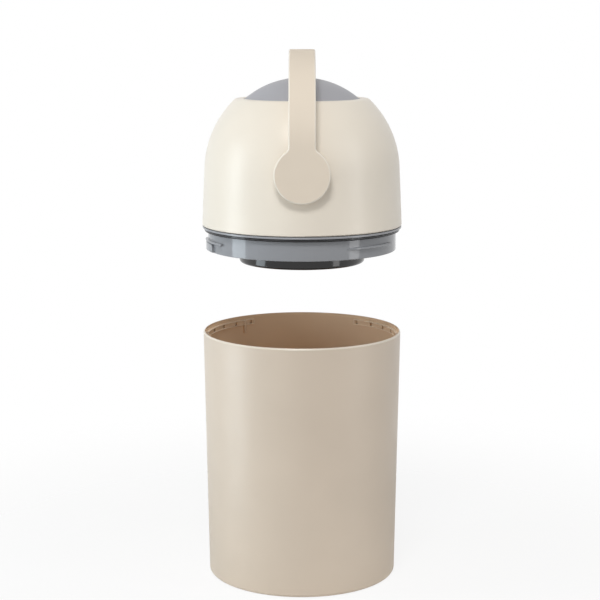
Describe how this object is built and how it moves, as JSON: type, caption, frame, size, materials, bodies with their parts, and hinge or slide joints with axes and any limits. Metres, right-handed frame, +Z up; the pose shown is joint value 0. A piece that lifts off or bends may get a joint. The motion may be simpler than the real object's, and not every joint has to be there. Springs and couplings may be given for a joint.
{
  "type": "diaper pail",
  "caption": "Free-standing diaper pail: tapered bin, lift-off domed head with bayonet collar, and a ball drum that a bail handle turns over, with a weighted piston in its bore.",
  "frame": {"origin": "middle of the bin's foot, on the floor", "axes": "+Z up; -Y is the front, where the handle's front disc faces; +X is to the right seen from the front"},
  "size_m": [0.2704, 0.287, 0.7209],
  "materials": {
    "cream_plastic": "satin",
    "beige_plastic": "fine matte texture",
    "grey_plastic": "satin",
    "collar_grey": "gloss",
    "black_plastic": "gloss",
    "white_plastic": "satin",
    "seal_rubber": "matte",
    "screw_steel": "zinc plated"
  },
  "bodies": {
    "head": {"dome": "cream_plastic", "collar": "collar_grey", "collar_screws": "screw_steel", "chute_ring": "black_plastic", "chute_screws": "screw_steel", "lower_seal": "seal_rubber", "top_seal": "seal_rubber", "top_seal_retainer": "collar_grey", "front_bush": "white_plastic", "rear_bush": "white_plastic"},
    "gasket": {"rim_gasket": "seal_rubber"},
    "bin": {"bin": "beige_plastic"},
    "drum": {"ball_left_shell": "grey_plastic", "ball_right_shell": "grey_plastic", "ball_screws": "screw_steel", "chamber_tube": "white_plastic", "left_mouth_ring": "grey_plastic", "right_mouth_ring": "grey_plastic", "mouth_ring_screws": "screw_steel", "front_trunnion": "white_plastic", "rear_trunnion": "white_plastic", "trunnion_screws": "screw_steel", "handle": "cream_plastic", "handle_screws": "screw_steel"},
    "piston": {"piston_cup": "white_plastic", "piston_cap": "white_plastic", "piston_weight": "screw_steel", "piston_wiper": "seal_rubber", "piston_screws": "screw_steel", "weight_screw": "screw_steel"}
  },
  "joints": [
    {"name": "head_lift", "type": "slide", "parent": "bin", "child": "gasket", "axis": [0, 0, -1], "range_m": [0, 0.142]},
    {"name": "head_twist", "type": "hinge", "parent": "gasket", "child": "head", "pos_m": [0, 0, 0.4859], "axis": [0, 0, -1], "range_deg": [0, 47]},
    {"name": "handle_flip", "type": "hinge", "parent": "head", "child": "drum", "pos_m": [0, 0, 0.5649], "axis": [0, 1, 0], "range_deg": [-90, 90]},
    {"name": "piston_drop", "type": "slide", "parent": "drum", "child": "piston", "axis": [1, 0, 0], "range_m": [0, 0.1289]}
  ]
}
